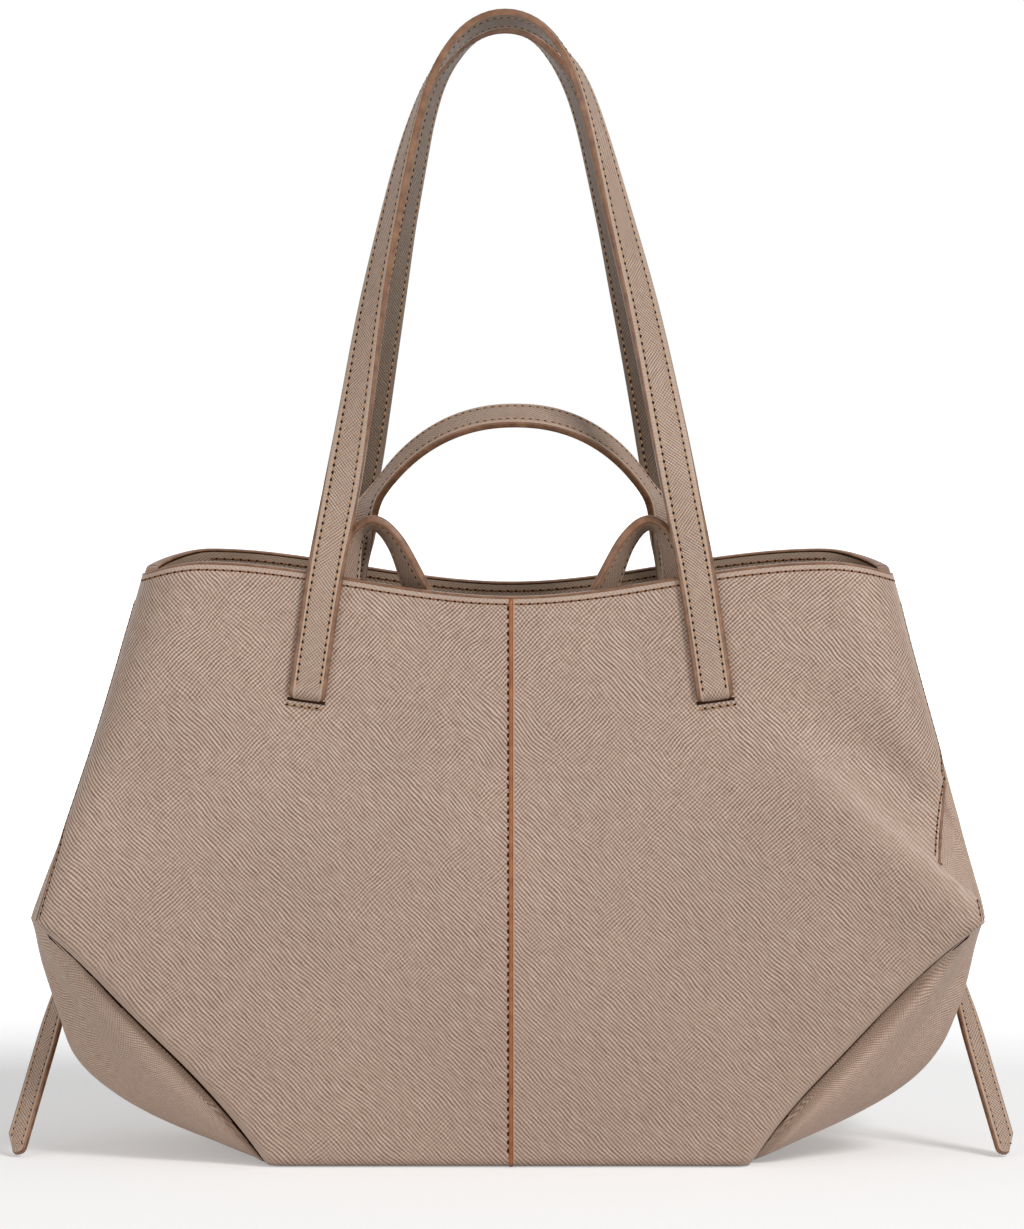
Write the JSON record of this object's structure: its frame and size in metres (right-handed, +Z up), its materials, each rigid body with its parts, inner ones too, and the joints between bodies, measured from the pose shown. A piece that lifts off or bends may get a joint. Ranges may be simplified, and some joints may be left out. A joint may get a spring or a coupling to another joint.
{
  "type": "shopper bag",
  "caption": "Soft leather shopper bag with folded side gussets, long shoulder straps, short hand handles and hanging side tabs, open at the top",
  "frame": {"origin": "centre of the bag on the surface that it stands on", "axes": "+X to the right seen from the front, +Y from the front to the back, +Z up"},
  "size_m": [0.492, 0.1658, 0.5568],
  "materials": {
    "grain_leather": "taupe cross-grain embossed leather, satin",
    "strap_leather": "taupe cross-grain embossed leather with brown painted edges, satin",
    "backing_leather": "taupe cross-grain leather, slightly darker",
    "suede_lining": "brown microfibre suede, matt",
    "fibre_board": "pressed leather fibre board, matt",
    "cotton_tape": "woven cotton tape"
  },
  "bodies": {
    "bag": {"front_left_panel": "grain_leather", "front_right_panel": "grain_leather", "back_left_panel": "grain_leather", "back_right_panel": "grain_leather", "left_gusset": "grain_leather", "right_gusset": "grain_leather", "base_panel": "grain_leather", "base_board": "fibre_board", "base_lining": "suede_lining", "front_lining": "suede_lining", "back_lining": "suede_lining", "left_lining": "suede_lining", "right_lining": "suede_lining", "front_facing": "grain_leather", "back_facing": "grain_leather", "left_facing": "grain_leather", "right_facing": "grain_leather", "front_rim_stay": "fibre_board", "back_rim_stay": "fibre_board", "front_seam_tape": "cotton_tape", "back_seam_tape": "cotton_tape", "front_strap_left_tail": "strap_leather", "front_strap_right_tail": "strap_leather", "back_strap_right_tail": "strap_leather", "back_strap_left_tail": "strap_leather", "back_handle_left_tail": "strap_leather", "back_handle_right_tail": "strap_leather", "front_handle_left_leg": "strap_leather", "front_handle_right_leg": "strap_leather", "front_handle_left_arm": "strap_leather", "front_handle_right_arm": "strap_leather", "left_tab_anchor": "strap_leather", "right_tab_anchor": "strap_leather"},
    "front_strap": {"front_strap": "strap_leather", "front_strap_backing": "backing_leather"},
    "back_strap": {"back_strap": "strap_leather", "back_strap_backing": "backing_leather"},
    "front_handle": {"front_handle_crown": "strap_leather"},
    "back_handle": {"back_handle": "strap_leather"},
    "left_tab": {"left_tab": "strap_leather"},
    "right_tab": {"right_tab": "strap_leather"}
  },
  "joints": [
    {"name": "front_strap_swing", "type": "hinge", "parent": "bag", "child": "front_strap", "pos_m": [0, -0.06693, 0.22236], "axis": [1, 0, 0], "range_deg": [0, 135]},
    {"name": "back_strap_swing", "type": "hinge", "parent": "bag", "child": "back_strap", "pos_m": [0, 0.06693, 0.22236], "axis": [-1, 0, 0], "range_deg": [0, 135]},
    {"name": "front_handle_lift", "type": "slide", "parent": "bag", "child": "front_handle", "axis": [0, 0, 1], "range_m": [0, 0.112], "deforming": ["front_handle_left_arm", "front_handle_right_arm"]},
    {"name": "back_handle_tilt", "type": "hinge", "parent": "bag", "child": "back_handle", "pos_m": [0, 0.04948, 0.26672], "axis": [1, 0, 0], "range_deg": [-8, 14]},
    {"name": "left_tab_swing", "type": "hinge", "parent": "bag", "child": "left_tab", "pos_m": [-0.20406, 0, 0.13073], "axis": [0, 1, 0], "range_deg": [0, 70]},
    {"name": "right_tab_swing", "type": "hinge", "parent": "bag", "child": "right_tab", "pos_m": [0.20406, 0, 0.13073], "axis": [0, -1, 0], "range_deg": [0, 70]}
  ]
}
